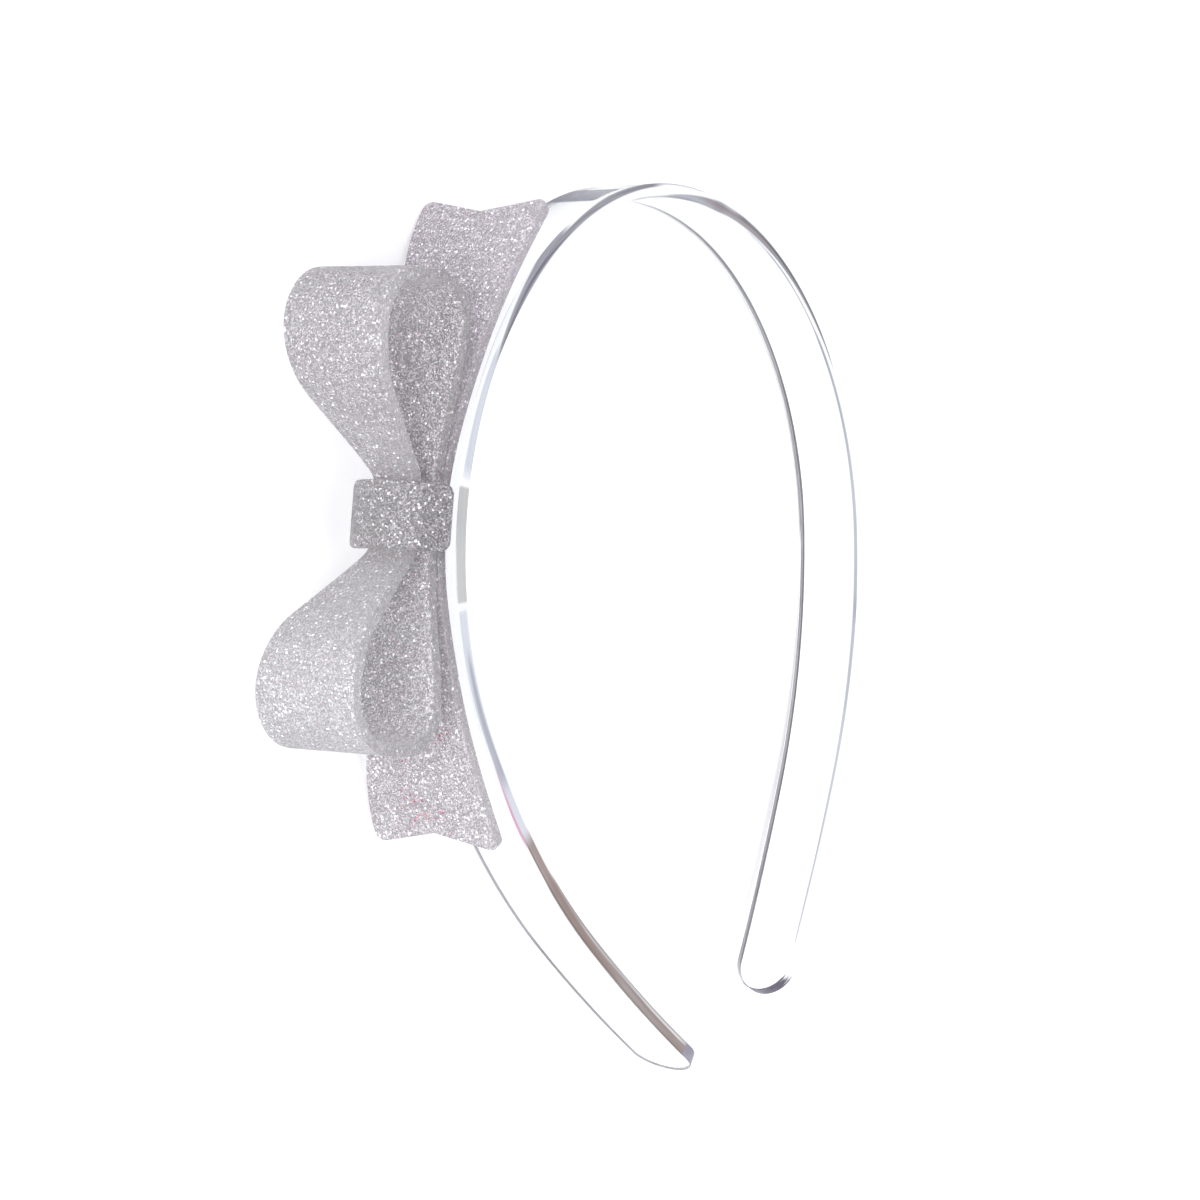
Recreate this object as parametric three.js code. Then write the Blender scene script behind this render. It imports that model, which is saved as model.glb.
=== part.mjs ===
// A hoop headband of clear acrylic with a bow of glitter acrylic sheet on its side.
// It lies on its side as it rests on a table: the tails of the bow and one leg of the hoop touch down.
// Millimetres, +Z up, the hoop's crown toward +Y, the bow on the -X side.
import * as THREE from 'three';

const DEG = Math.PI / 180;

// Clear hoop, bent from one strip with half-round tips
const BAND_WIDTH = 8.9;
const BAND_THICKNESS = 2.0;
// The crown's bend lies this far off the strip's middle, so the bow's leg is a little longer
const BAND_OFF_MIDDLE = 1.15;
// The hoop from the crown down its longer leg, each stretch an arc of the strip's middle
const BAND_ARCS = [
  { radius: 48.9, sweep: 103.4 * DEG },
  { radius: 96.4, sweep: 22.1 * DEG },
  { radius: 278, sweep: 7.05 * DEG },
];

// Bow, cut from thinner sheet and bent warm
const BOW_SHEET = 1.5;
const BOND_GAP = 0.3;
const BOW_FROM_CROWN = 59.2;
const BOW_SKEW = 1 * DEG;
const LOOP_SHIFT = -0.35;
const KNOT_SHIFT = -0.5;

// Tails: one strip under the loops, nearly flat at the middle, bent in more toward flared and
// notched ends that stand off the hoop
const TAIL_REACH = 42.8;
const TAIL_MIDDLE_REACH = 22;
const TAIL_MIDDLE_RADIUS = 180;
const TAIL_END_RADIUS = 42.4;
const TAIL_WAIST = 5.8;
const TAIL_END = 19.3;
const TAIL_NOTCH = 2.1;
const TAIL_CORNER = 1.6;

// Loops: one strip that runs out over the front, around and back behind on both sides
const LOOP_WAIST = 6.0;
const LOOP_WIDTH = 15.3;
const LOOP_FRONT_LIFT = 4.1;
const LOOP_RISE = 50 * DEG;
const LOOP_BACK_SLOPE = 6 * DEG;
const LOOP_FLAT = 3.2;
const LOOP_FOOT_RADIUS = 3.75;
const LOOP_SHOULDER = 12.4;
const LOOP_CREST_RADIUS = 10.9;
const LOOP_TIP_RADIUS = 6.75;
const LOOP_HEEL_RADIUS = 6.2;
const LOOP_SOLE_RADIUS = 30;

// Knot: a short plate arched over the waist of the loops, its lower end close to where they rise
const KNOT_LENGTH = 8.6;
const KNOT_RADIUS = 8.2;
const KNOT_HALF_SWEEP = 62 * DEG;
const KNOT_CORNER = 1.4;
const KNOT_GAP = 0.45;

const clearAcrylic = new THREE.MeshStandardMaterial({
  name: 'clear_acrylic',
  color: 0xe9eef3,
  roughness: 0.05,
  transparent: true,
  opacity: 0.35,
});
const glitterAcrylic = new THREE.MeshStandardMaterial({
  name: 'silver_glitter',
  color: 0xb4afb4,
  roughness: 0.35,
  metalness: 0.3,
});

const arc = (radius, turn) => ({ length: radius * Math.abs(turn), turn });
const straight = (length) => ({ length, turn: 0 });
const lengthOf = (stretches) => stretches.reduce((sum, stretch) => sum + stretch.length, 0);

// Point and outward side at a distance along a path that starts at (0, height) heading along +x.
// Negative distances follow the mirror image on the -x side.
function follow(stretches, height, distance) {
  const side = Math.sign(distance) || 1;
  let left = Math.abs(distance);
  let heading = 0;
  let x = 0;
  let y = height;
  for (const { length, turn } of stretches) {
    const run = Math.min(left, length);
    const bend = (turn * run) / length;
    const chord = bend === 0 ? run : (2 * run * Math.sin(bend / 2)) / bend;
    x += chord * Math.cos(heading + bend / 2);
    y += chord * Math.sin(heading + bend / 2);
    heading += bend;
    left -= run;
  }
  return {
    point: new THREE.Vector2(side * x, y),
    outward: new THREE.Vector2(-side * Math.sin(heading), Math.cos(heading)),
  };
}

// Distances along half of a path, finer where it bends more tightly
function marks(stretches, degreesPerStep, longestStep) {
  const out = [0];
  for (const { length, turn } of stretches) {
    const bends = Math.abs(turn) / (degreesPerStep * DEG);
    const steps = Math.max(1, Math.ceil(bends), Math.ceil(length / longestStep));
    const start = out[out.length - 1];
    for (let i = 1; i <= steps; i += 1) out.push(start + (length * i) / steps);
  }
  return out;
}

// Both halves of a path: mirrored distances, then the given ones
const bothWays = (half) => [...half.slice(1).map((s) => -s).reverse(), ...half];

// A bent sheet of even thickness as one closed solid, its middle shifted along the path if asked.
// halfWidth(s) is its half width along the path; trim(across) shortens its two ends to their outline.
function bentSheet(sheet) {
  const { stretches, height, shift = 0, thickness, stations, columns } = sheet;
  const { halfWidth, trim, endZone, ring } = sheet;
  const reach = lengthOf(stretches) - Math.abs(shift);
  const ribs = Array.from({ length: columns + 1 }, (_, j) => Math.sin((j / columns - 0.5) * Math.PI));
  const place = (s, rib, face) => {
    const across = rib * halfWidth(Math.abs(s));
    let along = s;
    if (trim && Math.abs(s) > reach - endZone) {
      const share = (Math.abs(s) - (reach - endZone)) / endZone;
      along = Math.sign(s) * (Math.abs(s) - share * trim(rib * halfWidth(reach)));
    }
    const { point, outward } = follow(stretches, height, along + shift);
    point.addScaledVector(outward, (face * thickness) / 2);
    return [point.x, point.y, across];
  };
  const positions = [];
  for (const face of [1, -1]) {
    for (const s of stations) {
      for (const rib of ribs) positions.push(...place(s, rib, face));
    }
  }
  const rows = stations.length;
  const across = ribs.length;
  const at = (face, i, j) => face * rows * across + (i % rows) * across + j;
  const triangles = [];
  const quad = (a, b, c, d) => triangles.push(a, b, c, a, c, d);
  for (let i = 0; i < (ring ? rows : rows - 1); i += 1) {
    for (let j = 0; j < columns; j += 1) {
      quad(at(0, i, j), at(0, i, j + 1), at(0, i + 1, j + 1), at(0, i + 1, j));
      quad(at(1, i, j), at(1, i + 1, j), at(1, i + 1, j + 1), at(1, i, j + 1));
    }
    quad(at(0, i, 0), at(0, i + 1, 0), at(1, i + 1, 0), at(1, i, 0));
    quad(at(0, i, columns), at(1, i, columns), at(1, i + 1, columns), at(0, i + 1, columns));
  }
  if (!ring) {
    for (let j = 0; j < columns; j += 1) {
      quad(at(0, 0, j), at(1, 0, j), at(1, 0, j + 1), at(0, 0, j + 1));
      quad(at(0, rows - 1, j), at(0, rows - 1, j + 1), at(1, rows - 1, j + 1), at(1, rows - 1, j));
    }
  }
  const geometry = new THREE.BufferGeometry();
  geometry.setAttribute('position', new THREE.Float32BufferAttribute(positions, 3));
  geometry.setIndex(triangles);
  geometry.computeVertexNormals();
  return geometry;
}

function part(name, geometry, material) {
  const mesh = new THREE.Mesh(geometry, material);
  mesh.name = name;
  return mesh;
}

// Rounded corner of a given radius on an end of a given half width
const rounded = (across, halfWidth, radius) => {
  const past = Math.max(0, Math.abs(across) - (halfWidth - radius));
  return radius - Math.sqrt(Math.max(0, radius * radius - past * past));
};

// Hoop
const bandPath = BAND_ARCS.map(({ radius, sweep }) => arc(radius, -sweep));
const bandReach = lengthOf(bandPath) - BAND_OFF_MIDDLE;
const tipZone = 3 * BAND_WIDTH;
const bandMarks = marks(bandPath, 3, 9).filter((s) => s < bandReach - tipZone);
for (let i = 0; i <= 4; i += 1) bandMarks.push(bandReach - tipZone * (1 - i / 4));
const band = part(
  'band',
  bentSheet({
    stretches: bandPath,
    height: -BAND_THICKNESS / 2,
    shift: -BAND_OFF_MIDDLE,
    thickness: BAND_THICKNESS,
    stations: bothWays(bandMarks),
    columns: 10,
    halfWidth: () => BAND_WIDTH / 2,
    trim: (across) => rounded(across, BAND_WIDTH / 2, BAND_WIDTH / 2),
    endZone: tipZone,
  }),
  clearAcrylic,
);

// Tails of the bow, bonded to the hoop at the middle of their back face
const tailPath = [
  arc(TAIL_MIDDLE_RADIUS, -TAIL_MIDDLE_REACH / TAIL_MIDDLE_RADIUS),
  arc(TAIL_END_RADIUS, -(TAIL_REACH - TAIL_MIDDLE_REACH) / TAIL_END_RADIUS),
];
const tailHeight = BOND_GAP + BOW_SHEET / 2;
const flare = (s) => THREE.MathUtils.smoothstep(s, 0, TAIL_REACH);
const tails = part(
  'bow_tails',
  bentSheet({
    stretches: tailPath,
    height: tailHeight,
    thickness: BOW_SHEET,
    stations: bothWays(marks(tailPath, 2, 3)),
    columns: 16,
    halfWidth: (s) => (TAIL_WAIST + (TAIL_END - TAIL_WAIST) * flare(s)) / 2,
    trim: (across) => {
      const notch = TAIL_NOTCH * Math.max(0, 1 - Math.abs(across) / (TAIL_END / 2));
      return notch + rounded(across, TAIL_END / 2, TAIL_CORNER);
    },
    endZone: 12,
  }),
  glitterAcrylic,
);

// Loops of the bow: over the front, around each end and back behind, closing at the middle
const loopBack = tailHeight + BOW_SHEET + BOND_GAP;
const loopFront = loopBack + LOOP_FRONT_LIFT;
const loopHead = [
  straight(LOOP_FLAT),
  arc(LOOP_FOOT_RADIUS, LOOP_RISE),
  straight(LOOP_SHOULDER),
  arc(LOOP_CREST_RADIUS, -LOOP_RISE),
  arc(LOOP_TIP_RADIUS, -90 * DEG),
];
const loopHeel = arc(LOOP_HEEL_RADIUS, -(90 * DEG - LOOP_BACK_SLOPE));
const loopSole = arc(LOOP_SOLE_RADIUS, -LOOP_BACK_SLOPE);
const tipPoint = follow(loopHead, loopFront, lengthOf(loopHead)).point;
const soleRun = LOOP_SOLE_RADIUS * Math.sin(LOOP_BACK_SLOPE) + LOOP_FLAT;
const heelRun = LOOP_HEEL_RADIUS * (1 - Math.sin(LOOP_BACK_SLOPE));
const backLength = (tipPoint.x - heelRun - soleRun) / Math.cos(LOOP_BACK_SLOPE);
const soleDrop = LOOP_SOLE_RADIUS * (1 - Math.cos(LOOP_BACK_SLOPE));
const heelDrop = LOOP_HEEL_RADIUS * Math.cos(LOOP_BACK_SLOPE);
const backDrop = backLength * Math.sin(LOOP_BACK_SLOPE) + soleDrop + heelDrop;
const loopPath = [
  ...loopHead,
  straight(tipPoint.y - loopBack - backDrop),
  loopHeel,
  straight(backLength),
  loopSole,
  straight(LOOP_FLAT),
];
const loopReach = lengthOf(loopPath);
const loops = part(
  'bow_loops',
  bentSheet({
    stretches: loopPath,
    height: loopFront,
    thickness: BOW_SHEET,
    stations: bothWays(marks(loopPath, 6, 2)).slice(1),
    columns: 1,
    halfWidth: (s) => {
      const fromKnot = Math.min(s, loopReach - s);
      return (LOOP_WAIST + (LOOP_WIDTH - LOOP_WAIST) * THREE.MathUtils.smoothstep(fromKnot, 1, 29)) / 2;
    },
    ring: true,
  }),
  glitterAcrylic,
);
loops.position.x = LOOP_SHIFT;

// Knot, arched across the hoop's width over the waist of the loops
const knotPath = [arc(KNOT_RADIUS, -KNOT_HALF_SWEEP)];
const knotInside = KNOT_RADIUS - BOW_SHEET / 2;
const waistDip = knotInside - Math.sqrt(knotInside ** 2 - (LOOP_WAIST / 2) ** 2);
const knot = part(
  'bow_knot',
  bentSheet({
    stretches: knotPath,
    height: loopFront + BOW_SHEET + KNOT_GAP + waistDip,
    thickness: BOW_SHEET,
    stations: bothWays(marks(knotPath, 6, 2)),
    columns: 12,
    halfWidth: () => KNOT_LENGTH / 2,
    trim: (across) => rounded(across, KNOT_LENGTH / 2, KNOT_CORNER),
    endZone: 4,
  }),
  glitterAcrylic,
);
knot.position.x = KNOT_SHIFT;
knot.rotation.y = -90 * DEG;

// Bow on the hoop: its own x runs along the hoop toward the crown, a little askew, its y outward
const bow = new THREE.Group();
bow.add(tails, loops, knot);
const seat = follow(bandPath, -BAND_THICKNESS / 2, -BOW_FROM_CROWN);
seat.point.addScaledVector(seat.outward, BAND_THICKNESS / 2);
bow.position.set(seat.point.x, seat.point.y, 0);
const seatTurn = Math.atan2(seat.outward.y, seat.outward.x) - 90 * DEG;
bow.rotation.set(0, -BOW_SKEW, seatTurn, 'ZYX');

const headband = new THREE.Group();
headband.add(band, bow);
headband.updateMatrixWorld(true);

// Lowest point of a piece along a given up direction, on one half of it if a side is given
function lowest(mesh, up, side = 0) {
  const points = mesh.geometry.getAttribute('position');
  const spot = new THREE.Vector3();
  const found = new THREE.Vector3();
  let low = Infinity;
  for (let i = 0; i < points.count; i += 1) {
    spot.fromBufferAttribute(points, i);
    const onSide = spot.x * side >= 0;
    spot.applyMatrix4(mesh.matrixWorld);
    if (onSide && spot.dot(up) < low) {
      low = spot.dot(up);
      found.copy(spot);
    }
  }
  return found;
}

// Rest on the table: its top is the plane through the lowest points of both tails and of the hoop
const across = new THREE.Vector3(0, 0, 1);
const slightLean = new THREE.Vector3(seat.outward.x, seat.outward.y, 20).normalize();
const table = new THREE.Plane(slightLean);
for (let i = 0; i < 20; i += 1) {
  const up = table.normal.clone();
  table.setFromCoplanarPoints(lowest(tails, up, 1), lowest(tails, up, -1), lowest(band, up));
  if (table.normal.z < 0) table.negate();
}
headband.quaternion.setFromUnitVectors(table.normal, across);

// Origin under the middle of the object, on the table
const box = new THREE.Box3().setFromObject(headband, true);
const middle = box.getCenter(new THREE.Vector3());
headband.position.set(-middle.x, -middle.y, -box.min.z);
headband.updateMatrixWorld(true);

export default headband;
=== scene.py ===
import math

import bmesh
import bpy
from mathutils import Matrix, Vector


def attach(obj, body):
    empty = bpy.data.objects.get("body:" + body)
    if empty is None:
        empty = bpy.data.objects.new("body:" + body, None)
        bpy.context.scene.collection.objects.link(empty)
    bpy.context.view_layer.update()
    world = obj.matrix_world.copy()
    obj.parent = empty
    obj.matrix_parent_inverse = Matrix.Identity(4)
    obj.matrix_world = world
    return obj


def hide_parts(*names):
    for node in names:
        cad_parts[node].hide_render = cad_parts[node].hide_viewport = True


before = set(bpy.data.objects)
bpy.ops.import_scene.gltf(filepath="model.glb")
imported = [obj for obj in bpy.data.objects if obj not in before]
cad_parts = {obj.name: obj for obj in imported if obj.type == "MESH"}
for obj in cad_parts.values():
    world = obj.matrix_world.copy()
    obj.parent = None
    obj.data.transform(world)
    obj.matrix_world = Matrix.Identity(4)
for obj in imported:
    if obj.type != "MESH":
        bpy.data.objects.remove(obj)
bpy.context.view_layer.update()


# Band: a hoop of clear acrylic sheet, one strip with half-round tips. It is cut flat, its
# arrises are eased, and it is then warmed and bent, tightest over the crown. The hoop lies on
# its side, leaning a little, because the wider bow holds one side of it up.
MM = 0.001
BAND_WIDTH = 8.9
BAND_THICKNESS = 2.0
BAND_ARRIS = 0.12
BAND_BENDS = ((48.9, 103.4), (96.4, 22.1), (278.0, 7.05))  # radius, degrees, crown to longer tip
BAND_OFF_MIDDLE = 1.15
LEAN = math.radians(3.29402)
LEAN_AXIS = Vector((0.05201, 0.99865, 0.0))
CROWN_AT = Vector((13.20283, 59.02418, 7.459))
ON_TABLE = (
    Matrix.Scale(MM, 4)
    @ Matrix.Translation(CROWN_AT)
    @ Matrix.Rotation(LEAN, 4, LEAN_AXIS)
)


def arc(radius, degrees):
    """Length and turn of a bent stretch; a positive turn goes to the left."""
    turn = math.radians(degrees)
    return abs(radius * turn), turn


def straight(length):
    return length, 0.0


def follow(path, height, distance):
    """Point and outward side at a distance along a path that starts at (0, height) along +x.
    Negative distances follow the mirror image on the -x side."""
    side = -1.0 if distance < 0 else 1.0
    left, heading, spot = abs(distance), 0.0, Vector((0.0, height))
    for length, turn in path:
        run = min(left, length)
        bend = turn * run / length
        chord = 2 * run * math.sin(bend / 2) / bend if bend else run
        spot += chord * Vector((math.cos(heading + bend / 2), math.sin(heading + bend / 2)))
        heading += bend
        left -= run
    outward = Vector((-side * math.sin(heading), math.cos(heading)))
    return Vector((side * spot.x, spot.y)), outward


def reach_of(path):
    return sum(length for length, turn in path)


def cuts(path, degrees, longest):
    """Distances along half of a path at which the sheet may fold, closer in tight bends."""
    out, start = [], 0.0
    for length, turn in path:
        steps = math.ceil(max(1, abs(math.degrees(turn)) / degrees, length / longest))
        out += [start + length * i / steps for i in range(steps)]
        start += length
    return out


def thicken(bm, thickness, arris, trim_ends=True):
    """Gives a flat outline its thickness and eases the arrises of its cut edge."""
    made = bmesh.ops.extrude_face_region(bm, geom=bm.faces[:])
    upper = [part for part in made["geom"] if isinstance(part, bmesh.types.BMVert)]
    bmesh.ops.translate(bm, verts=upper, vec=(0, 0, thickness))
    bmesh.ops.translate(bm, verts=bm.verts[:], vec=(0, 0, -thickness / 2))
    bmesh.ops.recalc_face_normals(bm, faces=bm.faces[:])
    if not trim_ends:
        ends = [face for face in bm.faces if abs(face.normal.x) > 0.9]
        bmesh.ops.delete(bm, geom=ends, context="FACES_ONLY")
    for face in bm.faces:
        face.material_index = 1 if abs(face.normal.z) < 0.5 else 0
    arrises = [
        edge
        for edge in bm.edges
        if {face.material_index for face in edge.link_faces} == {0, 1}
    ]
    bmesh.ops.bevel(
        bm, geom=arrises, offset=arris, offset_type="OFFSET", affect="EDGES",
        segments=3, profile=0.5, material=-1, clamp_overlap=True,
    )
    for face in bm.faces:
        face.material_index = 0 if face.normal.z > 0.98 else 2 if face.normal.z < -0.98 else 1


def bend_along(bm, path, height, degrees, longest):
    """Folds the flat sheet along the path: x runs along it, z stands out from it."""
    for distance in cuts(path, degrees, longest):
        for x in {distance, -distance}:
            everything = bm.verts[:] + bm.edges[:] + bm.faces[:]
            bmesh.ops.bisect_plane(
                bm, geom=everything, dist=1e-4, plane_co=(x, 0, 0), plane_no=(1, 0, 0)
            )
    flat = bm.verts.layers.float_vector.new("sheet")
    for vert in bm.verts:
        vert[flat] = vert.co
        point, outward = follow(path, height, vert.co.x)
        point += outward * vert.co.z
        vert.co = (point.x, point.y, -vert.co.y)


def set_down(name, bm, place, finishes):
    """Puts a bent sheet in its place on the table as an object of its own."""
    bm.transform(ON_TABLE @ place)
    mesh = bpy.data.meshes.new(name)
    bm.to_mesh(mesh)
    bm.free()
    mesh.shade_smooth()
    for finish in finishes:
        mesh.materials.append(finish)
    sheet = bpy.data.objects.new(name, mesh)
    bpy.context.scene.collection.objects.link(sheet)
    sheet.modifiers.new("flat faces", "WEIGHTED_NORMAL").weight = 50
    return sheet


class Shade:
    """A socket of a finish, so that its shading is written as plain expressions."""

    def __init__(self, tree, socket=None):
        self.tree = tree
        self.socket = socket

    def node(self, kind, sockets, settings=None, out=0):
        made = self.tree.nodes.new("ShaderNode" + kind)
        for name, value in (settings or {}).items():
            setattr(made, name, value)
        for name, value in sockets.items():
            if isinstance(value, Shade):
                self.tree.links.new(value.socket, made.inputs[name])
            else:
                made.inputs[name].default_value = value
        return Shade(self.tree, made.outputs[out] if len(made.outputs) else None)

    def maths(self, operation, a, b):
        return self.node("Math", {0: a, 1: b}, {"operation": operation})

    def __add__(self, other):
        return self.maths("ADD", self, other)

    def __radd__(self, other):
        return self.maths("ADD", other, self)

    def __sub__(self, other):
        return self.maths("SUBTRACT", self, other)

    def __rsub__(self, other):
        return self.maths("SUBTRACT", other, self)

    def __mul__(self, other):
        return self.maths("MULTIPLY", self, other)

    def __rmul__(self, other):
        return self.maths("MULTIPLY", other, self)

    def __gt__(self, other):
        return self.maths("GREATER_THAN", self, other)

    def __lt__(self, other):
        return self.maths("LESS_THAN", self, other)


def new_finish(name):
    material = bpy.data.materials.new(name)
    material.use_nodes = True
    material.node_tree.nodes.clear()
    return material, Shade(material.node_tree)


def place_on(shade):
    return shade.node("TexCoord", {}, out="Object")


# Polished faces: clear all through, with faint rubbing from wear, and milky where the bow is
# glued to the outside. A smoky reflection is painted on the crown's outside, shown only at a low
# angle, and a faint smoky painted reflection on the inside of the shorter leg.
BOW_FROM_CROWN = 59.2
BOND_LENGTH = 12.8
BOND_WIDTH = 5.4
BOND_MILKINESS = 0.8
FACE_CLEARNESS = 0.96
# Painted reflection: the smoky patch on the crown's outside with a fainter skirt, and its faint wash
# inside the shorter leg
SMOKY_REFLECTION = (0.075, 0.08, 0.115, 1.0)
SHEEN_TURN = (0.55, 0.75)  # how far the face turns away where the sheen starts and where it is full
SHEEN_DEPTH = 0.8
SHEEN_SKIRT_DEPTH = 0.14
INSIDE_REFLECTION_DEPTH = 0.05
# Middle, half length and softness of each stretch, along the strip or across it
SHEEN_ALONG = (-2.0, 3.3, 0.5)
SHEEN_SKIRT_ALONG = (-8.0, 5.0, 3.0)
SHEEN_ACROSS = (0.6, 4.0, 0.5)
INSIDE_REFLECTION_ALONG = (26.0, 22.0, 8.0)


def flat_place(paint):
    """Where a point was on the flat sheet before bending: along, across and through it."""
    flat = paint.node("Attribute", {}, {"attribute_name": "sheet"}, out="Vector")
    split = [paint.node("SeparateXYZ", {"Vector": flat}, out=axis) for axis in "XYZ"]
    return flat, *split


def within(value, middle, half, soft):
    """One inside a stretch of a value, nought outside it, with soft ends."""
    off = value - middle
    off = off.maths("ABSOLUTE", off, 0.0)
    return off.node("MapRange", {
        "Value": off, "From Min": half - soft, "From Max": half + soft, "To Min": 1.0, "To Max": 0.0,
    }, {"interpolation_type": "SMOOTHSTEP"})


def ramp(value, low, high):
    """Nought below a stretch of a value, rising smoothly to one above it."""
    ends = {"Value": value, "From Min": low, "From Max": high}
    return value.node("MapRange", ends, {"interpolation_type": "SMOOTHSTEP"})


def let_lamps_through(paint, surface, share):
    """See-through sheet throws a pale shadow: a share of the lamps' light passes straight on."""
    lamp = paint.node("LightPath", {}, out="Is Shadow Ray")
    window = paint.node("BsdfTransparent", {"Color": (share, share, share, 1.0)})
    return paint.node("MixShader", {0: lamp, 1: surface, 2: window})


clear_face, paint = new_finish("clear acrylic face")
flat, along, across, through = flat_place(paint)
outside, inside = through > 0.5, through < -0.5
rub = paint.node("TexNoise", {"Vector": flat, "Scale": 0.9, "Detail": 3.0})
glued = (
    within(along, -BOW_FROM_CROWN, BOND_LENGTH / 2, 0.3)
    * within(across, 0.0, BOND_WIDTH / 2, 0.3)
    * outside
)
polished = paint.node("BsdfPrincipled", {
    "Base Color": (0.985, 0.99, 1.0, 1.0),
    "Roughness": 0.01 + 0.02 * rub,
    "IOR": 1.49,
    "Transmission Weight": 1.0,
})
milky = paint.node("BsdfPrincipled", {
    "Base Color": (0.62, 0.62, 0.64, 1.0),
    "Roughness": 0.4 + 0.2 * rub,
})
surface = paint.node("MixShader", {0: glued * BOND_MILKINESS, 1: polished, 2: milky})
# Painted reflection: a smoky patch on the crown's outside, seen only at a low angle, and a faint one
# inside the shorter leg
grazing = ramp(paint.node("LayerWeight", {"Blend": 0.5}, out="Facing"), *SHEEN_TURN)
sheen = SHEEN_DEPTH * within(along, *SHEEN_ALONG)
sheen = sheen + SHEEN_SKIRT_DEPTH * within(along, *SHEEN_SKIRT_ALONG)
sheen = sheen * within(across, *SHEEN_ACROSS) * outside * grazing
sheen = sheen + INSIDE_REFLECTION_DEPTH * within(along, *INSIDE_REFLECTION_ALONG) * inside
smoky_reflection = paint.node("BsdfPrincipled", {"Base Color": SMOKY_REFLECTION, "Roughness": 0.3 + 0.2 * rub})
surface = paint.node("MixShader", {0: sheen, 1: surface, 2: smoky_reflection})
paint.node("OutputMaterial", {"Surface": let_lamps_through(paint, surface, FACE_CLEARNESS)})

# Cut edge: satin on the surface and clear below. Its tones are painted reflections: white for the
# most part, with smoky, brown, icy and rosy streaks that slant from arris to arris, dark at both
# tips and grey where the tail is reflected beside the bow.
EDGE_CLEARNESS = 0.6
# Where the grey tail is reflected in the near edge beside the bow: painted, with white ends
TAIL_REFLECTION_AT = -62.6
TAIL_REFLECTION_LENGTH = 14.6
TAIL_REFLECTION_END = 1.0
TAIL_REFLECTION_END_DEPTH = 0.6
SHORT_TIP = (155.0, 156.2)
SHORT_TIP_FADE = (2.2, 3.2)
LONG_TIP = (-158.6, -158.2)
LONG_TIP_LINE = (0.1, 0.6, 0.16)
LONG_FACET = (-156.2, 2.4, 0.2)
WHITE = (0.88, 0.885, 0.9, 1.0)
ICE = (0.48, 0.505, 0.575, 1.0)
BLUE = (0.225, 0.237, 0.295, 1.0)
LILAC = (0.21, 0.212, 0.26, 1.0)
DUSK = (0.165, 0.163, 0.21, 1.0)
VIOLET = (0.22, 0.205, 0.26, 1.0)
PLUM = (0.055, 0.044, 0.074, 1.0)
STEEL = (0.13, 0.126, 0.155, 1.0)
SMOKE = (0.05, 0.04, 0.05, 1.0)
SLATE = (0.1, 0.092, 0.125, 1.0)
BROWN = (0.2, 0.125, 0.105, 1.0)
SAND = (0.2, 0.187, 0.166, 1.0)
ROSE = (0.55, 0.17, 0.32, 1.0)
# Grey of the tail's painted reflection in the edge
TAIL_REFLECTION_GREY = (0.47, 0.47, 0.465, 1.0)
# Painted reflections. Tone, strength, then where a streak starts and ends (along, through) and
# its half width there
UPPER_REFLECTIONS = (
    (SAND, 0.9, (-160.0, 0.1), (-112.0, 0.0), (1.2, 0.95)),
    (BROWN, 0.75, (-157.0, 0.3), (-104.0, 0.0), (0.7, 0.75)),
    (BROWN, 0.8, (-134.0, 0.35), (-104.0, 0.0), (0.4, 0.7)),
    (WHITE, 0.6, (-153.0, -0.5), (-122.0, -0.5), (0.14, 0.06)),
    (STEEL, 0.6, (-142.0, -0.3), (-116.0, -0.9), (0.1, 0.1)),
    (SMOKE, 0.7, (-156.0, 1.0), (-102.0, 0.6), (0.14, 0.1)),
    (ICE, 0.8, (-104.0, 0.1), (-92.0, -0.1), (0.7, 0.6)),
    (ICE, 0.9, (-96.0, -0.1), (-70.0, 0.15), (0.6, 0.9)),
    (LILAC, 0.6, (-95.0, -0.1), (-77.0, 0.0), (0.55, 0.35)),
    (ROSE, 0.9, (-105.0, 1.0), (-92.0, 0.55), (0.3, 0.06)),
    (ICE, 0.95, (-54.0, -0.15), (-36.0, -0.55), (0.9, 0.65)),
    (DUSK, 0.95, (-37.0, -0.9), (-14.0, 1.15), (0.4, 0.7)),
    (SLATE, 0.97, (-36.0, -0.95), (9.0, 1.15), (0.25, 0.6)),
    (STEEL, 0.8, (2.0, -0.75), (17.0, -0.85), (0.08, 0.1)),
    (STEEL, 0.8, (4.0, 0.95), (20.0, 0.9), (0.12, 0.08)),
    (LILAC, 0.9, (10.0, -0.8), (25.0, -0.15), (0.15, 0.8)),
    (STEEL, 0.9, (23.0, -0.1), (58.0, 0.65), (0.75, 0.2)),
    (BROWN, 0.4, (20.0, -0.2), (40.0, 0.1), (0.5, 0.35)),
    (SMOKE, 0.95, (29.0, 0.45), (62.0, 0.74), (0.28, 0.14)),
    (ICE, 0.8, (32.0, -0.75), (46.0, -0.5), (0.25, 0.12)),
    (STEEL, 0.9, (38.0, -0.7), (62.0, -0.43), (0.1, 0.12)),
    (BLUE, 0.85, (56.0, -0.5), (100.0, 0.4), (0.28, 0.52)),
    (BLUE, 0.8, (98.0, 0.42), (150.0, -1.0), (0.52, 0.15)),
    (LILAC, 0.4, (112.0, 0.95), (158.0, 0.95), (0.08, 0.08)),
    (LILAC, 0.4, (140.0, -0.95), (158.0, -0.95), (0.08, 0.08)),
)
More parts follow.
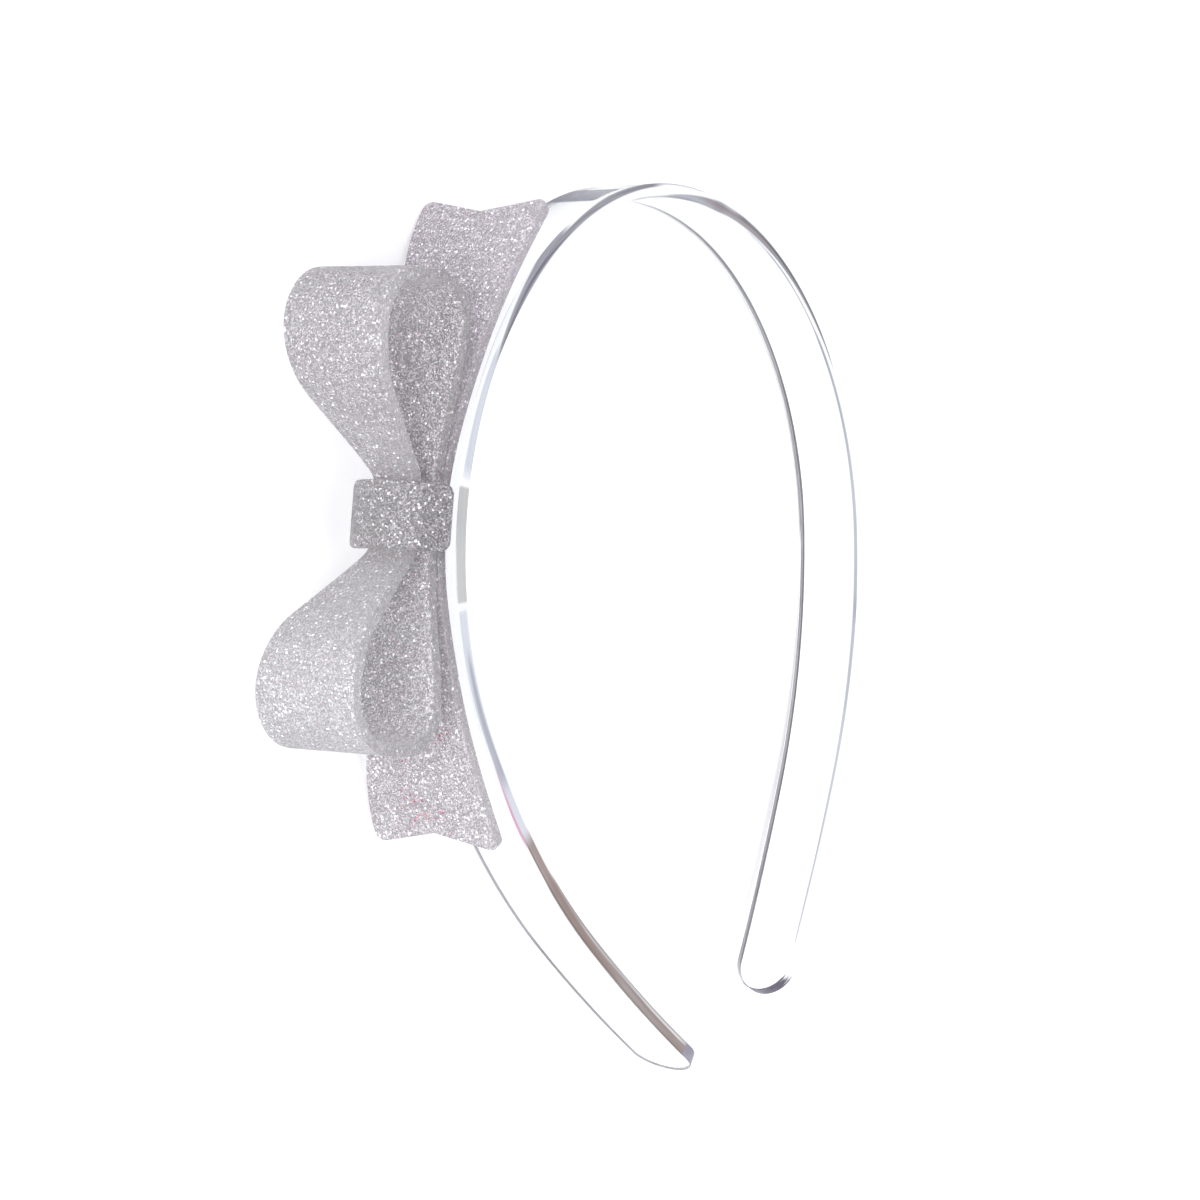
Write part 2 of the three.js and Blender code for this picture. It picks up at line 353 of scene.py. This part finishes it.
LOWER_REFLECTIONS = (
    (SMOKE, 1.0, (-160.0, 0.1), (-124.0, 0.0), (0.6, 0.55)),
    (STEEL, 0.9, (-128.0, 0.0), (-100.0, -0.3), (0.55, 0.5)),
    (LILAC, 0.6, (-102.0, 0.2), (-18.0, 0.3), (0.4, 0.4)),
    (SMOKE, 0.97, (-22.0, 0.0), (8.0, 0.0), (1.2, 1.2)),
    (SLATE, 0.9, (14.0, 0.7), (88.0, 0.0), (0.25, 1.4)),
    (STEEL, 0.9, (86.0, 0.3), (154.0, 0.1), (0.75, 0.9)),
    (SMOKE, 0.95, (10.0, 0.6), (154.0, 0.8), (0.25, 0.34)),
)


def slanting(along, through, start, end, halves):
    """A streak from one point of the edge to another, each given along and through the sheet."""
    share = along.node("MapRange", {"Value": along, "From Min": start[0], "From Max": end[0]})
    middle = start[1] + (end[1] - start[1]) * share
    half = halves[0] + (halves[1] - halves[0]) * share
    ends = within(along, (start[0] + end[0]) / 2, (end[0] - start[0]) / 2, 2.0)
    return within(through, middle, half, 0.16) * ends


def over(share, under, colour):
    """A colour laid over another by a share that changes over the surface."""
    return share.node("Mix", {"Factor": share, 6: under, 7: colour}, {"data_type": "RGBA"}, out=2)


clear_edge, paint = new_finish("clear acrylic cut edge")
flat, along, across, through = flat_place(paint)
lines = paint.node("VectorMath", {0: flat, 1: (0.05, 0.6, 2.4)}, {"operation": "MULTIPLY"})
noise = paint.node("TexNoise", {"Vector": lines, "Scale": 1.0, "Detail": 4.0})
brushed = paint.node("MapRange", {"Value": noise, "From Min": 0.36, "From Max": 0.64})
upper = across < 0.0
# The edge's tone: painted reflections laid one over another on white, on the near edge and the far
# edge
tone = WHITE
for side, reflections in ((upper, UPPER_REFLECTIONS), (1 - upper, LOWER_REFLECTIONS)):
    for colour, strength, start, end, halves in reflections:
        share = side * slanting(along, through, start, end, halves)
        tone = over(strength * share * (0.78 + 0.22 * brushed), tone, colour)
# Painted reflections at the tips: dark at the short tip, a dark end line and a violet facet at the
# long tip
short_tip = ramp(along + 1.2 * brushed, *SHORT_TIP) * (1 - ramp(across, *SHORT_TIP_FADE))
long_tip = (1 - ramp(along, *LONG_TIP)) * within(through, *LONG_TIP_LINE)
long_facet = within(along, *LONG_FACET) * upper
# Painted reflection of the grey tail in the near edge beside the bow, with white ends
tail_reflection_ends = upper * within(along, TAIL_REFLECTION_AT, TAIL_REFLECTION_LENGTH / 2 + TAIL_REFLECTION_END, 0.2)
tail_reflection_mask = upper * within(along, TAIL_REFLECTION_AT, TAIL_REFLECTION_LENGTH / 2, 0.25)
for share, colour in (
    (short_tip, PLUM),
    (long_tip, SMOKE),
    (long_facet, VIOLET),
    (TAIL_REFLECTION_END_DEPTH * tail_reflection_ends, WHITE),
    (tail_reflection_mask, TAIL_REFLECTION_GREY),
):
    tone = over(share, tone, colour)
# Satin that carries the painted reflections
satin_and_reflections = paint.node("BsdfPrincipled", {
    "Base Color": tone,
    "Roughness": 0.3 + 0.2 * brushed,
    "Coat Weight": 0.15,
    "Coat Roughness": 0.03,
})
buffed = paint.node("BsdfPrincipled", {
    "Base Color": (0.96, 0.97, 0.99, 1.0),
    "Roughness": 0.03 + 0.08 * brushed,
    "IOR": 1.49,
    "Transmission Weight": 1.0,
})
surface = paint.node("MixShader", {0: 0.9 + 0.06 * brushed, 1: buffed, 2: satin_and_reflections})
paint.node("OutputMaterial", {"Surface": let_lamps_through(paint, surface, EDGE_CLEARNESS)})

band_path = [arc(radius, -degrees) for radius, degrees in BAND_BENDS]
bm = bmesh.new()
bmesh.ops.create_circle(bm, cap_ends=True, radius=BAND_WIDTH / 2, segments=64)
bmesh.ops.rotate(bm, verts=bm.verts[:], matrix=Matrix.Rotation(math.pi / 64, 3, "Z"))
for vert in bm.verts:
    vert.co.x += math.copysign(reach_of(band_path) - BAND_OFF_MIDDLE - BAND_WIDTH / 2, vert.co.x)
    vert.co.x -= BAND_OFF_MIDDLE
thicken(bm, BAND_THICKNESS, BAND_ARRIS)
bend_along(bm, band_path, -BAND_THICKNESS / 2, 1.5, 1.5)
band = set_down("clear_band", bm, Matrix(), [clear_face, clear_edge, clear_face])
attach(band, "root")
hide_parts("band")


# Tails: one flared strip of glitter acrylic with a notch in each end, nearly flat at the middle
# and bent in toward the ends. It is glued to the outside of the hoop at its middle, a degree
# askew, and its ends stand off the hoop.
SHEET = 1.5
SHEET_ARRIS = 0.14
BOND_GAP = 0.3
BOW_SKEW = math.radians(1.0)
TAIL_REACH = 42.8
TAIL_MIDDLE_REACH = 22.0
TAIL_MIDDLE_RADIUS = 180.0
TAIL_END_RADIUS = 42.4
TAIL_WAIST = 5.8
TAIL_END = 19.3
TAIL_NOTCH = 2.1
TAIL_CORNER = 1.6
GRAIN = 0.16
# Size of the cells, share of them that hold a flake, and the flake's spread in its cell
SMALL_FLAKES = (0.36, 0.2, 0.3)
LARGE_FLAKES = (0.52, 0.26, 0.33)
RED_FLAKES = (0.45, 0.3, 0.42)
RED_ACROSS = (0.0, 5.5, 2.0)
LIP_SHADE_ACROSS = (-6.0, -1.0)
GLITTER_CLEARNESS = 0.4
GLOW = 0.8


def ease(value, low, high):
    share = min(1.0, max(0.0, (value - low) / (high - low)))
    return share * share * (3 - 2 * share)


def glitter(name, bright, contrast, sparkle, lilac, fade=(0.0, 1.0, 0.0), red=None, lip_shade=None):
    """Clear sheet filled with silver flakes that lie at all angles under a glossy face. Past a
    stretch along the sheet it is darker and a little more lilac, which is painted shade: fade
    is the stretch's start, end and depth. Red flakes lie in patches of another stretch, if red
    gives its middle and half length. Painted shade darkens the sheet toward the near edge of one
    more stretch, if the last argument gives its middle, half length and depth."""
    finish, paint = new_finish(name)
    where = place_on(paint)
    along, across = flat_place(paint)[1:3]
    # Painted shade: darker and a little more lilac past the fade stretch, and darker toward the near
    # edge in the lip stretch
    shade = ramp(along, fade[0], fade[1])
    bright_after_shade = bright - fade[2] * shade
    if lip_shade:
        near = 1 - ramp(across, *LIP_SHADE_ACROSS)
        bright_after_shade = bright_after_shade - lip_shade[2] * within(along, lip_shade[0], lip_shade[1], 5.0) * near

    def flakes(size, share, spread):
        cells = {"Vector": where, "Scale": 1.0 / (size * MM)}
        middle = paint.node("TexVoronoi", cells, out="Distance")
        colour = paint.node("TexVoronoi", cells, out="Color")
        kind = [paint.node("SeparateColor", {"Color": colour}, out=i) for i in range(3)]
        return (kind[0] > 1 - share) * (middle < spread) * (0.35 + 0.65 * kind[1])

    grain = paint.node("TexVoronoi", {"Vector": where, "Scale": 1.0 / (GRAIN * MM)}, out="Color")
    grey, sheen, tint = [paint.node("SeparateColor", {"Color": grain}, out=i) for i in range(3)]
    cloud = paint.node("TexNoise", {"Vector": where, "Scale": 90.0, "Detail": 2.0})
    small, large = flakes(*SMALL_FLAKES), flakes(*LARGE_FLAKES)
    spark = small.maths("MAXIMUM", small, large)
    value = bright_after_shade + contrast * (grey * grey - 0.33) + 0.08 * (cloud - 0.5) + sparkle * spark
    green = 1 - lilac * (0.5 + shade)
    silver = paint.node("CombineColor", {"Red": value, "Green": value * green, "Blue": value})
    rosy = paint.node("CombineColor", {"Red": value, "Green": value * 0.62, "Blue": value * 0.68})
    colour = over((tint > 0.96) * 0.8, silver, rosy)
    shine = spark
    if red:
        patch = within(along, red[0], red[1], 2.0) * within(across, *RED_ACROSS) * (cloud > 0.45)
        fleck = flakes(*RED_FLAKES) * patch
        ruddy = paint.node("CombineColor", {"Red": value, "Green": value * 0.2, "Blue": value * 0.27})
        colour = over(fleck, colour, ruddy)
        shine = spark.maths("MAXIMUM", spark, fleck)
    leaning = paint.node("VectorMath", {0: grain, 1: (0.5, 0.5, 0.5)}, {"operation": "SUBTRACT"})
    leaning = paint.node("VectorMath", {0: leaning, "Scale": 0.5}, {"operation": "SCALE"})
    upright = paint.node("NewGeometry", {}, out="Normal")
    facing = paint.node("VectorMath", {0: upright, 1: leaning}, {"operation": "ADD"})
    facing = paint.node("VectorMath", {0: facing}, {"operation": "NORMALIZE"})
    flake_side = paint.node("BsdfPrincipled", {
        "Base Color": colour,
        "Metallic": 0.2,
        "Roughness": 0.35 + 0.25 * sheen,
        "Normal": facing,
        "Coat Weight": 0.15,
        "Coat Roughness": 0.15,
    })
    glow = paint.node("BsdfTranslucent", {"Color": (GLOW, GLOW * (1 - lilac), GLOW, 1.0)})
    surface = paint.node("MixShader", {0: 0.5 - 0.5 * shine, 1: flake_side, 2: glow})
    paint.node("OutputMaterial", {"Surface": let_lamps_through(paint, surface, GLITTER_CLEARNESS)})
    return finish


# The cut edges have less glitter, as cut edges do, and are darker copies of it, which is painted
# shade
glitter_edge = glitter(
    "silver glitter cut edge", bright=0.34, contrast=0.5, sparkle=0.45, lilac=0.024,
    fade=(36.0, 46.0, 0.07),
)
glitter_tail_edge = glitter(
    "silver glitter tail edge", bright=0.38, contrast=0.45, sparkle=0.4, lilac=0.04
)
glitter_tail = glitter(
    "silver glitter tails", bright=0.425, contrast=0.75, sparkle=0.55, lilac=0.04,
    fade=(-20.0, 20.0, 0.005), red=(-33.0, 8.0),
)
seat, outward = follow(band_path, -BAND_THICKNESS / 2, -BOW_FROM_CROWN)
seat += outward * BAND_THICKNESS / 2
ON_BAND = (
    Matrix.Translation((seat.x, seat.y, 0))
    @ Matrix.Rotation(math.atan2(outward.y, outward.x) - math.pi / 2, 4, "Z")
    @ Matrix.Rotation(-BOW_SKEW, 4, "Y")
)

tail_path = [
    arc(TAIL_MIDDLE_RADIUS, -math.degrees(TAIL_MIDDLE_REACH / TAIL_MIDDLE_RADIUS)),
    arc(TAIL_END_RADIUS, -math.degrees((TAIL_REACH - TAIL_MIDDLE_REACH) / TAIL_END_RADIUS)),
]
tail_height = BOND_GAP + SHEET / 2
bm = bmesh.new()
bmesh.ops.create_grid(bm, x_segments=28, y_segments=2, size=1.0)
for vert in bm.verts:
    along, rib = vert.co.x * TAIL_REACH, vert.co.y
    flare = ease(abs(along), 0.0, TAIL_REACH)
    notch = TAIL_NOTCH * (1 - abs(rib)) * max(0.0, abs(vert.co.x) * 4 - 3)
    vert.co.x = math.copysign(abs(along) - notch, along)
    vert.co.y = rib * (TAIL_WAIST + (TAIL_END - TAIL_WAIST) * flare) / 2
corners = [vert for vert in bm.verts if len(vert.link_edges) == 2]
bmesh.ops.bevel(
    bm, geom=corners, offset=TAIL_CORNER, offset_type="OFFSET", affect="VERTICES",
    segments=8, profile=0.5, material=-1, clamp_overlap=True,
)
thicken(bm, SHEET, SHEET_ARRIS)
bend_along(bm, tail_path, tail_height, 1.0, 1.0)
tails = set_down("bow_tails_sheet", bm, ON_BAND, [glitter_tail, glitter_tail_edge, glitter_tail])
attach(tails, "root")
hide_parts("bow_tails")


# Loops: one longer strip of the same sheet, narrow at the waist. It runs over the front,
# turns at each end and comes back behind, where it closes at the middle.
LOOP_WAIST = 6.0
LOOP_WIDTH = 15.3
LOOP_FLARE = (1.0, 29.0)
LOOP_FRONT_LIFT = 4.1
LOOP_RISE = 50.0
LOOP_BACK_SLOPE = 6.0
LOOP_FLAT = 3.2
LOOP_FOOT_RADIUS = 3.75
LOOP_SHOULDER = 12.4
LOOP_CREST_RADIUS = 10.9
LOOP_TIP_RADIUS = 6.75
LOOP_HEEL_RADIUS = 6.2
LOOP_SOLE_RADIUS = 30.0
LOOP_SHIFT = -0.35

loop_back = tail_height + SHEET + BOND_GAP
loop_front = loop_back + LOOP_FRONT_LIFT
loop_head = [
    straight(LOOP_FLAT),
    arc(LOOP_FOOT_RADIUS, LOOP_RISE),
    straight(LOOP_SHOULDER),
    arc(LOOP_CREST_RADIUS, -LOOP_RISE),
    arc(LOOP_TIP_RADIUS, -90),
]
slope = math.radians(LOOP_BACK_SLOPE)
tip = follow(loop_head, loop_front, reach_of(loop_head))[0]
heel_run = LOOP_HEEL_RADIUS * (1 - math.sin(slope))
sole_run = LOOP_SOLE_RADIUS * math.sin(slope) + LOOP_FLAT
back_length = (tip.x - heel_run - sole_run) / math.cos(slope)
back_drop = (
    LOOP_HEEL_RADIUS * math.cos(slope)
    + back_length * math.sin(slope)
    + LOOP_SOLE_RADIUS * (1 - math.cos(slope))
)
loop_path = loop_head + [
    straight(tip.y - loop_back - back_drop),
    arc(LOOP_HEEL_RADIUS, LOOP_BACK_SLOPE - 90),
    straight(back_length),
    arc(LOOP_SOLE_RADIUS, -LOOP_BACK_SLOPE),
    straight(LOOP_FLAT),
]
loop_reach = reach_of(loop_path)
# The outside darkens along the strip, painted shade. The inside is a lighter copy of the glitter,
# painted light, with painted shade toward the near edge of one stretch of the back run.
glitter_outside = glitter(
    "silver glitter loop outside", bright=0.42, contrast=0.6, sparkle=0.5, lilac=0.016,
    fade=(-3.0, 26.0, 0.09),
)
glitter_inside = glitter(
    "silver glitter loop inside", bright=0.58, contrast=1.0, sparkle=0.5, lilac=0.022,
    fade=(-10.0, 10.0, 0.035), lip_shade=(58.0, 14.0, 0.15),
)
bm = bmesh.new()
bmesh.ops.create_grid(bm, x_segments=120, y_segments=1, size=1.0)
for vert in bm.verts:
    along = vert.co.x * loop_reach
    from_knot = min(abs(along), loop_reach - abs(along))
    width = LOOP_WAIST + (LOOP_WIDTH - LOOP_WAIST) * ease(from_knot, *LOOP_FLARE)
    vert.co.x = along
    vert.co.y *= width / 2
thicken(bm, SHEET, SHEET_ARRIS, trim_ends=False)
bend_along(bm, loop_path, loop_front, 4.0, 1.0)
bmesh.ops.remove_doubles(bm, verts=bm.verts[:], dist=0.002)
ON_TAILS = ON_BAND @ Matrix.Translation((LOOP_SHIFT, 0, 0))
loops = set_down("bow_loops_sheet", bm, ON_TAILS, [glitter_outside, glitter_edge, glitter_inside])
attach(loops, "root")
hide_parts("bow_loops")


# Knot: a short plate of the same sheet with rounded corners, rounder at its far end. It is
# arched over the waist of the loops and glued to their edges.
KNOT_LENGTH = 8.6
KNOT_RADIUS = 8.2
KNOT_HALF_SWEEP = 62.0
KNOT_CORNER = 1.4
KNOT_FAR_CORNER = 3.4
KNOT_ARRIS = 0.4
KNOT_GAP = 0.45
KNOT_SHIFT = -0.5

# The knot is a darker copy of the glitter, painted shade, and darker still toward one end of its arch
glitter_knot = glitter(
    "silver glitter knot", bright=0.32, contrast=0.6, sparkle=0.45, lilac=0.022,
    fade=(-2.0, 6.0, 0.1),
)
knot_path = [arc(KNOT_RADIUS, -KNOT_HALF_SWEEP)]
knot_inside = KNOT_RADIUS - SHEET / 2
waist_dip = knot_inside - math.sqrt(knot_inside**2 - (LOOP_WAIST / 2) ** 2)
bm = bmesh.new()
bmesh.ops.create_grid(bm, x_segments=1, y_segments=1, size=1.0)
bmesh.ops.scale(bm, verts=bm.verts[:], vec=(reach_of(knot_path), KNOT_LENGTH / 2, 1))
for side, corner in ((1, KNOT_CORNER), (-1, KNOT_FAR_CORNER)):
    bmesh.ops.bevel(
        bm, geom=[vert for vert in bm.verts if vert.co.x * side > 0 and len(vert.link_edges) == 2],
        offset=corner, offset_type="OFFSET", affect="VERTICES",
        segments=8, profile=0.5, material=-1, clamp_overlap=True,
    )
thicken(bm, SHEET, KNOT_ARRIS)
bend_along(bm, knot_path, loop_front + SHEET + KNOT_GAP + waist_dip, 3.0, 1.0)
ACROSS_BOW = (
    ON_BAND
    @ Matrix.Translation((KNOT_SHIFT, 0, 0))
    @ Matrix.Rotation(-math.pi / 2, 4, "Y")
)
knot = set_down("bow_knot_plate", bm, ACROSS_BOW, [glitter_knot] * 3)
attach(knot, "root")
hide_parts("bow_knot")


# Floor: a plain pale sweep under everything, faintly lit from below as a light table is.
FLOOR_SIZE = 3.0
FLOOR_PALE = 0.96
FLOOR_GLOW = 0.08
floor_finish, paint = new_finish("pale floor")
mottle = paint.node("TexNoise", {"Vector": place_on(paint), "Scale": 40.0, "Detail": 3.0})
pale = FLOOR_PALE + 0.012 * mottle
surface = paint.node("BsdfPrincipled", {
    "Base Color": paint.node("CombineColor", {"Red": pale, "Green": pale, "Blue": pale}),
    "Roughness": 0.7,
    "Specular IOR Level": 0.2,
    "Emission Color": (1.0, 1.0, 1.0, 1.0),
    "Emission Strength": FLOOR_GLOW,
})
paint.node("OutputMaterial", {"Surface": surface})
bm = bmesh.new()
bmesh.ops.create_grid(bm, x_segments=1, y_segments=1, size=FLOOR_SIZE / 2)
floor_mesh = bpy.data.meshes.new("floor")
bm.to_mesh(floor_mesh)
bm.free()
floor_mesh.materials.append(floor_finish)
floor = bpy.data.objects.new("floor", floor_mesh)
bpy.context.scene.collection.objects.link(floor)


# Light: one large soft box low on the bow's side, in a pale room that lights all round.
def soft_box(name, spot, aim, size, watts):
    light = bpy.data.lights.new(name, "AREA")
    light.shape = "SQUARE"
    light.size = size
    light.energy = watts
    lamp = bpy.data.objects.new(name, light)
    lamp.location = spot
    lamp.rotation_mode = "QUATERNION"
    lamp.rotation_quaternion = (Vector(aim) - Vector(spot)).to_track_quat("-Z", "Y")
    bpy.context.scene.collection.objects.link(lamp)


MIDDLE = (0.0, 0.0, 0.01)
soft_box("bow side soft box", (-1.72, 0.32, 0.62), MIDDLE, 1.2, 30.0)

room = bpy.data.worlds.new("pale room")
room.use_nodes = True
room.node_tree.nodes["Background"].inputs["Color"].default_value = (0.96, 0.97, 1.0, 1.0)
room.node_tree.nodes["Background"].inputs["Strength"].default_value = 1.12
bpy.context.scene.world = room
bpy.context.scene.view_settings.view_transform = "Standard"


# Camera: long lens, above the table on the bow's side, turned so that the crown is up.
EYE = Vector((-0.37262, 0.12652, 0.30787))
LOOK = Vector((0.75583, -0.24465, -0.60734))
CROWN_UP = Vector((0.28181, 0.95882, -0.03554))
lens = bpy.data.cameras.new("camera")
lens.sensor_width = 36.0
lens.lens = 109.965
lens.clip_start = 0.01
camera = bpy.data.objects.new("camera", lens)
right = LOOK.cross(CROWN_UP).normalized()
upward = right.cross(LOOK).normalized()
camera.rotation_mode = "QUATERNION"
camera.rotation_quaternion = Matrix((right, upward, -LOOK)).transposed().to_quaternion()
camera.location = EYE
bpy.context.scene.collection.objects.link(camera)
bpy.context.scene.camera = camera
